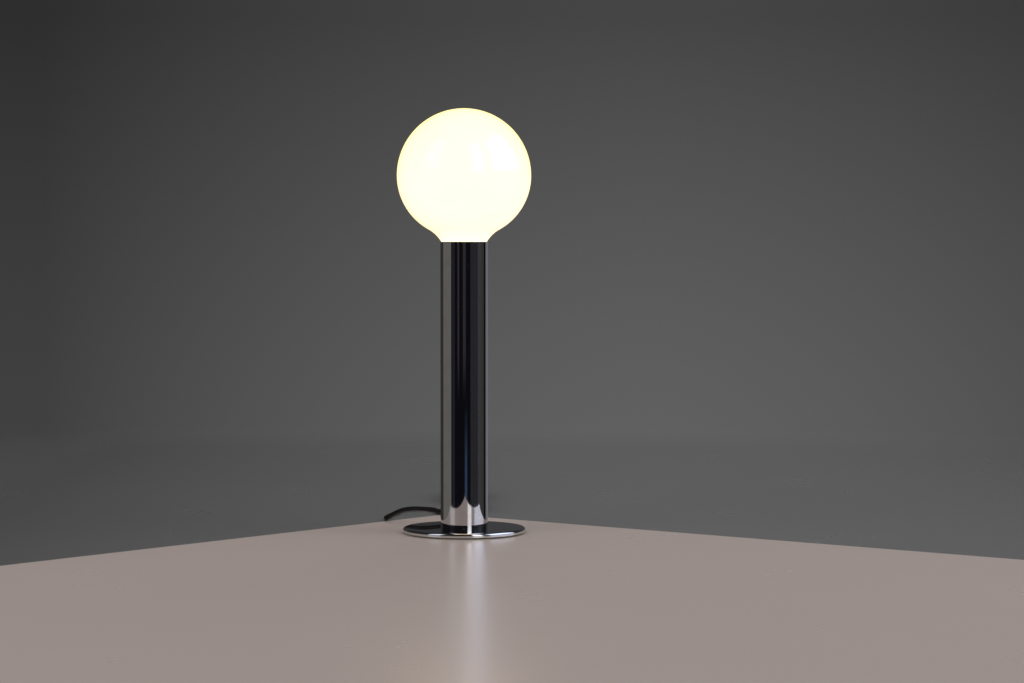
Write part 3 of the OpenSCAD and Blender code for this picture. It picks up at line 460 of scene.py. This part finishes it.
def hank_point(u):
    """A point of the hank after u loops from the middle of its first run."""
    turned_in = u % (2 * LOOPS_PER_LAYER) if 0 <= u <= HANK_LOOPS else 0
    turned_in = min(turned_in, 2 * LOOPS_PER_LAYER - turned_in)
    r = HANK_OUT_R - HANK_STEP * turned_in
    level = sum(smooth_step((u - LOOPS_PER_LAYER * k) * 2 + 0.5) for k in (1, 2, 3))
    run = HANK_RUN / (2 * HANK_RUN + 2 * math.pi * r)
    v = u - math.floor(u + 0.5)
    side = 1 if abs(v) < 0.25 else -1
    along = v if abs(v) < 0.25 else math.copysign(0.5, v) - v
    past = abs(along) - run / 2
    middle_y = HANK_Y + HANK_RUN / 2
    z = HANK_Z + HANK_LAYER * level
    if past <= 0:
        y = along / run * HANK_RUN
        drawn_in = HANK_WAIST * math.cos(math.pi * y / HANK_RUN) ** 2
        return side * (r - drawn_in), middle_y + y, z
    turn = past * math.pi / (0.5 - run)
    reach = HANK_RUN / 2 + r * math.sin(turn)
    return side * r * math.cos(turn), middle_y + math.copysign(reach, along), z


def hank_line():
    end_run = HANK_RUN / (2 * HANK_RUN + 2 * math.pi * HANK_OUT_R) / 2
    span = HANK_LOOPS + 2 * end_run
    count = round(span * RINGS_PER_LOOP)
    return [hank_point(-end_run + span * i / count) for i in range(count + 1)]


def make_cord(name, route, stands_for):
    """A round cord along a route in millimetres."""
    points = [Vector(p) * MM for p in route]
    curve = bpy.data.curves.new(name, "CURVE")
    curve.dimensions = "3D"
    curve.bevel_depth = CORD_R
    curve.bevel_resolution = 6
    curve.resolution_u = 6
    curve.use_fill_caps = True
    line = curve.splines.new("BEZIER")
    line.bezier_points.add(len(points) - 1)
    for spot, point in zip(line.bezier_points, points):
        spot.co = point
        spot.handle_left_type = spot.handle_right_type = "AUTO"
    cord = bpy.data.objects.new(name, curve)
    bpy.context.scene.collection.objects.link(cord)
    dress(cord, "cord_pvc", "lamp", *stands_for)


def lay_cords():
    on_switch = [n for n in NODES if n.startswith("switch_")]
    on_switch += ["rocker_pin", "moving_contact", "live_contacts", "neutral_link"]
    make_cord("cord_from_lamp", LAMP_SIDE, ["cord_lamp_side"])
    make_cord("cord_with_hank", TO_HANK + hank_line() + TO_PLUG,
              ["cord_to_hank", "cord_hank", "cord_to_plug"])


# The turned and drawn pieces of the lamp
def make_tube():
    """The chromed tube: eased edges, a rim bevelled inside, and the cord's hole low at the back."""
    low, high = TUBE_LOW.z, TUBE_HIGH.z
    inner_r, rim_r, bevel_h = TUBE_R - TUBE_WALL, TUBE_R - RIM_EDGE, 2 * (TUBE_WALL - RIM_EDGE)
    ease, fine = 0.1 * MM, 0.03 * MM
    # Rings of points near the ends and above the hole keep the long wall's smooth shading straight
    near_end, above_hole = 0.8 * MM, 30 * MM
    tube = turned("chrome_tube", [
        (inner_r, low), (TUBE_R - ease, low), (TUBE_R, low + ease), (TUBE_R, low + near_end),
        (TUBE_R, above_hole), (TUBE_R, high - ease),
        *arc(TUBE_R - fine, high - fine, fine, 0, 90, 2), (rim_r, high),
        (inner_r, high - bevel_h), (inner_r, high - bevel_h - near_end), (inner_r, low),
    ], 192)
    hole = begin(bpy.ops.mesh.primitive_cylinder_add, "hole_cutter", vertices=64, radius=CORD_HOLE_R,
                 depth=10 * MM, rotation=(math.pi / 2, 0, 0), location=(0, TUBE_R, EXIT_Z * MM))
    cut(tube, hole)
    smooth(tube)
    dress(tube, "chrome", "lamp", "tube")


def make_foot_disc():
    """The chromed disc: a rounded upper edge and three countersunk holes from below."""
    low, high = PLATE_LOW.z, PLATE_HIGH.z
    disc = begin(bpy.ops.mesh.primitive_cylinder_add, "foot_disc", vertices=256,
                 radius=PLATE_HIGH.x, depth=high - low, location=(0, 0, (low + high) / 2))
    with Editing(disc, "EDGE") as edit:
        edit.pick(lambda at, way: at.z > high - 0.01 * MM)
        bpy.ops.mesh.bevel(offset=DISC_ROUND, segments=12)
        edit.pick(lambda at, way: at.z < low + 0.01 * MM)
        bpy.ops.mesh.bevel(offset=0.3 * MM, segments=2)
    with Editing(disc) as edit:
        edit.pick(lambda at, way: abs(way.z) > 0.999)
        bpy.ops.mesh.inset(thickness=1 * MM)
    for angle in SCREW_ANGLES:
        a = math.radians(angle)
        hole = turned("screw_cutter", [
            (0, low - MM), (SCREW_HEAD_R, low - MM), (SCREW_HEAD_R, low),
            (SCREW_HOLE_R, low + SCREW_SINK), (SCREW_HOLE_R, high + MM), (0, high + MM),
        ], 48)
        hole.location = (SCREW_CIRCLE_R * math.cos(a), SCREW_CIRCLE_R * math.sin(a), 0)
        cut(disc, hole)
    smooth(disc)
    dress(disc, "chrome", "lamp", "base_plate")


def make_felt():
    """The felt under the disc, with a soft, slightly uneven edge."""
    height = FELT_HIGH.z - FELT_LOW.z
    felt = begin(bpy.ops.mesh.primitive_cylinder_add, "felt_disc", vertices=256,
                 radius=FELT_HIGH.x - 0.1 * MM, depth=height, location=(0, 0, height / 2))
    with Editing(felt, "EDGE") as edit:
        edit.pick(lambda at, way: abs(way.z) < 0.01)
        bpy.ops.mesh.bevel(offset=0.35 * MM, segments=3)
    with Editing(felt, "VERT") as edit:
        edit.pick(lambda at, way: 0.05 * height < at.z < 0.95 * height)
        bpy.ops.transform.vertex_random(offset=0.09 * MM, seed=4)
    smooth(felt, 60)
    dress(felt, "felt", "lamp", "felt_pad")


def make_globe():
    """The opal globe: a sphere, a shoulder, a hollow curve and the neck, with a wall of 1 mm."""
    shoulder_r, hollow_r, neck_r, rim_gap, wall = 55 * MM, 30 * MM, 16.2 * MM, 0.4 * MM, 1 * MM
    seal_r, seal_l = 10.6 * MM, 12 * MM
    shoulder_x = GLOBE_R - shoulder_r
    hollow_x = neck_r + hollow_r
    across = hollow_x - (TUBE_R - RIM_EDGE)
    hollow_z = TUBE_HIGH.z - math.sqrt((hollow_r - rim_gap) ** 2 - across ** 2)
    end = math.degrees(math.atan2(hollow_z - GLOBE_Z, hollow_x - shoulder_x))
    neck_z = hollow_z - 2.5 * MM
    cap_z = neck_z - 2.4 * MM

    def side(inset):
        return (
            arc(0, GLOBE_Z, GLOBE_R - inset, 90, 0, 40)
            + arc(shoulder_x, GLOBE_Z, shoulder_r - inset, end / 24, end, 23)
            + arc(hollow_x, hollow_z, hollow_r + inset, 180 + end, 180, 20)[1:]
            + [(neck_r - inset, neck_z), (seal_r - inset, cap_z), (seal_r - inset, cap_z - seal_l)]
        )

    globe = turned("opal_globe", side(0) + side(wall)[::-1], 160)
    smooth(globe, 40)
    dress(globe, "opal_glass", "bulb", "globe")


# The stage
WALL_GREY = 0.117
FLOOR_PALE = (0.472, 0.394, 0.361)
FLOOR_GREY = (0.151, 0.151, 0.151)
# The pale part's straight edges: slope, and where each crosses the Y axis
EDGES_BEHIND = [(1.09, 177.4 * MM), (-0.767, 145.5 * MM)]
EDGES_BEFORE = [(-0.978, -353.0 * MM), (1.207, -409.0 * MM)]
# The squares of the distances from the lamp between which the floor fades
FADE_FROM, FADE_TO = 0.8, 1.9
# The grey part's painted pool of light: its brightest place, how far from there its painted shade is
# darkest, and the share lost there
FLOOR_MIDDLE_X, FLOOR_HALF_X, FLOOR_PAINTED_SIDE_SHADE = 0.2, 0.64, 0.42


def make_floor():
    """A plain pale floor that turns grey behind the lamp, with painted shade to the grey's sides,
    and fades into the backdrop far off.
    """
    floor = begin(bpy.ops.mesh.primitive_plane_add, "floor", size=5, location=(0, 0, -0.02 * MM))
    material, s = new_finish("floor")
    x, y = s.along(0), s.along(1)
    soft = 1.5 * MM
    front = 1
    for slope, start_y in EDGES_BEHIND:
        front = front * s.rise(slope * x + start_y - y, -soft, soft)
    board = front
    for slope, start_y in EDGES_BEFORE:
        board = board * s.rise(y - slope * x - start_y, -soft, soft)
    near = 1 - s.rise(x * x + y * y, FADE_FROM, FADE_TO)
    cloud = s.noise(9, 4)
    pale = s.mix(cloud, FLOOR_PALE, tuple(0.93 * c for c in FLOOR_PALE))
    # Painted shade: the grey part darkens from a painted pool of light towards its sides
    aside = ((x - FLOOR_MIDDLE_X).maths("ABSOLUTE") / FLOOR_HALF_X).maths("MINIMUM", 1)
    grey = s.mix(FLOOR_PAINTED_SIDE_SHADE * aside.maths("POWER", 2), FLOOR_GREY, (0, 0, 0))
    shader = s.node("BsdfPrincipled", None, {
        "Base Color": s.mix(front, grey, pale),
        "Roughness": 0.22 + 0.08 * cloud,
        "Normal": s.bump(s.noise(700, 3), 0.00002),
    })
    # What mirrors the floor shows only its pale part, out to all four edges
    shown = near + s.is_ray(GLOSSY_RAY) * (board - near)
    clear = s.node("BsdfTransparent")
    s.node("OutputMaterial", None, {0: s.node("MixShader", None, {0: shown, 1: clear, 2: shader})})
    floor.data.materials.append(material)


# Plain flats and soft windows that the metal mirrors: from and to, in degrees round from the
# front, positive to the right, and their colour
FLATS = [
    (-185, -122, (0.036, 0.035, 0.031)),
    (-122, -66, (0.150, 0.145, 0.130)),
    (-60, -47, (0.018, 0.019, 0.028)),
    (31, 70, (0.026, 0.026, 0.030)),
    (70, 94, (0.053, 0.051, 0.056)),
    (94, 112, (0.048, 0.044, 0.040)),
    (130, 185, (0.190, 0.195, 0.215)),
]
BLUE_FLAT = [(3, 15, (0.032, 0.056, 0.105))]
HIGH_FLATS = [
    (-32, -24, (0.040, 0.034, 0.040)),
    (-6, 8, (0.036, 0.031, 0.033)),
]
# A bright upright strip between the windows
LAMP_STRIP = [(17, 35, (2.6, 2.6, 2.7))]
WINDOWS = [
    (-72, -47, (0.80, 0.84, 0.95)),
    (51, 108, (1.62, 1.79, 2.30)),
]
# The left window's brighter upper part
LEFT_ABOVE = [(-72, -47, (1.20, 1.26, 1.43))]
ROOM_BLACK = (0.005, 0.005, 0.007)
ROOM_FRONT = (0.008, 0.008, 0.009)
BEHIND_LEFT, BEHIND_RIGHT = (0.040, 0.040, 0.043), (0.055, 0.055, 0.060)
CEILING = (0.030, 0.030, 0.032)
EVEN_LIGHT = (0.62, 0.62, 0.62)
# Heights, in degrees, between which the mirrored room's layers come in
UPPER_ROOM_RISE, HIGH_FLATS_RISE, BLUE_FALL = (1.2, 2.2), (-3.6, -2.2), (-3.5, -5.4)
STRIP_RISE, WINDOWS_RISE, LEFT_ABOVE_RISE = (6.30, 6.36), (7.0, 7.8), (18, 22)
CEILING_RISE, WINDOWS_END = (14, 50), (46, 60)
# Turns from the front, in degrees, over which the upper room changes, and how soft sides are
BEHIND_SIDES, BEHIND_START = (-5, 5), (120, 150)
FLAT_SOFT, HIGH_FLAT_SOFT, WINDOW_SOFT = 1.2, 2, 3
# The grey backdrop's painted pool of light, in degrees: its brightest place, and how far from there
# its painted shade is darkest
BACKDROP_MIDDLE, BACKDROP_HALF = 4.03, 13.2
BACKDROP_LOW, BACKDROP_TALL = -4.4, 9.3
# The share lost to painted shade there, to the sides and upwards, and the power of the fall
BACKDROP_SIDE_PAINTED_SHADE, SIDE_POWER = 0.55, 1.6
BACKDROP_TOP_PAINTED_SHADE, TOP_POWER = 0.49, 1.3
DEGREES = 180 / math.pi


def make_world():
    """Grey with painted light and shade for the camera, a dark room with windows for the metal, even
    light for the rest.
    """
    world = bpy.data.worlds.new("studio")
    bpy.context.scene.world = world
    s = Shades(world)
    way = s.node("TexCoord", out=SKY_WAY)
    x, y, z = (s.along(axis, way) for axis in range(3))
    round_from_front = x.maths("ARCTAN2", -1 * y) * DEGREES
    height = z.maths("ARCSINE") * DEGREES

    def bands(colour, flats, soft):
        for start, end, shade in flats:
            inside = s.rise(round_from_front, start - soft, start + soft)
            inside = inside * (1 - s.rise(round_from_front, end - soft, end + soft))
            colour = s.mix(inside, colour, shade)
        return colour

    low = bands(ROOM_BLACK, FLATS, FLAT_SOFT)
    low = s.mix(s.rise(height, *BLUE_FALL), low, bands(low, BLUE_FLAT, FLAT_SOFT))
    low = s.mix(s.rise(height, *HIGH_FLATS_RISE), low, bands(low, HIGH_FLATS, HIGH_FLAT_SOFT))
    behind = s.mix(s.rise(round_from_front, *BEHIND_SIDES), BEHIND_LEFT, BEHIND_RIGHT)
    dim = s.mix(s.rise(round_from_front.maths("ABSOLUTE"), *BEHIND_START), ROOM_FRONT, behind)
    dim = s.mix(s.rise(height, *CEILING_RISE), dim, CEILING)
    tall = 1 - s.rise(height, *WINDOWS_END)
    high = s.mix(tall * s.rise(height, *STRIP_RISE), dim, bands(dim, LAMP_STRIP, WINDOW_SOFT))
    high = s.mix(tall * s.rise(height, *WINDOWS_RISE), high, bands(high, WINDOWS, WINDOW_SOFT))
    above = tall * s.rise(height, *LEFT_ABOVE_RISE)
    high = s.mix(above, high, bands(high, LEFT_ABOVE, WINDOW_SOFT))
    mirrored = s.mix(s.rise(height, *UPPER_ROOM_RISE), low, high)

    # Painted light on the backdrop: brightest near its middle, with painted shade towards the sides
    # and the top
    aside = (x.maths("ARCTAN2", y) * DEGREES - BACKDROP_MIDDLE).maths("ABSOLUTE")
    aside = (aside / BACKDROP_HALF).maths("MINIMUM", 1)
    above = ((height - BACKDROP_LOW).maths("MAXIMUM", 0) / BACKDROP_TALL).maths("MINIMUM", 1)
    grey = WALL_GREY * (1 - BACKDROP_SIDE_PAINTED_SHADE * aside.maths("POWER", SIDE_POWER))
    grey = grey * (1 - BACKDROP_TOP_PAINTED_SHADE * above.maths("POWER", TOP_POWER))
    backdrop = s.node("CombineColor", None, {0: grey, 1: grey, 2: grey})
    seen = s.is_ray(CAMERA_RAY).maths("MAXIMUM", s.is_ray(TRANSMISSION_RAY))
    colour = s.mix(seen, EVEN_LIGHT, backdrop)
    colour = s.mix(s.is_ray(GLOSSY_RAY), colour, mirrored)
    s.node("OutputWorld", None, {0: s.node("Background", None, {0: colour})})


def make_lights():
    """Three broad soft lights that the metal doesn't mirror."""
    for name, place, size, power in (
        ("soft_left", (-1.3, -0.9, 1.2), 1.2, 9),
        ("soft_right", (1.5, -0.5, 1.3), 1.2, 11),
        ("soft_back", (0.3, 1.6, 1.4), 1.2, 7),
    ):
        light = bpy.data.lights.new(name, "AREA")
        light.size = size
        light.energy = power
        lamp = bpy.data.objects.new(name, light)
        lamp.location = place
        aim = Vector((0, 0, 0.15)) - Vector(place)
        lamp.rotation_euler = aim.to_track_quat("-Z", "Y").to_euler()
        lamp.visible_glossy = False
        lamp.visible_camera = False
        bpy.context.scene.collection.objects.link(lamp)


def finish_packed_pieces():
    """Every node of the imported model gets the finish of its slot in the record."""
    for row in frame["record"]["subparts"]:
        node = NODES[row["node"]]
        slot = row["material_slot"]
        finish = CORES.get(row["node"]) or FINISHES[slot]
        for place in node.material_slots:
            place.material = finish


bpy.context.scene.view_settings.view_transform = "Standard"
make_camera()
lay_cords()
finish_packed_pieces()
make_globe()
make_tube()
make_foot_disc()
make_felt()
make_floor()
make_world()
make_lights()
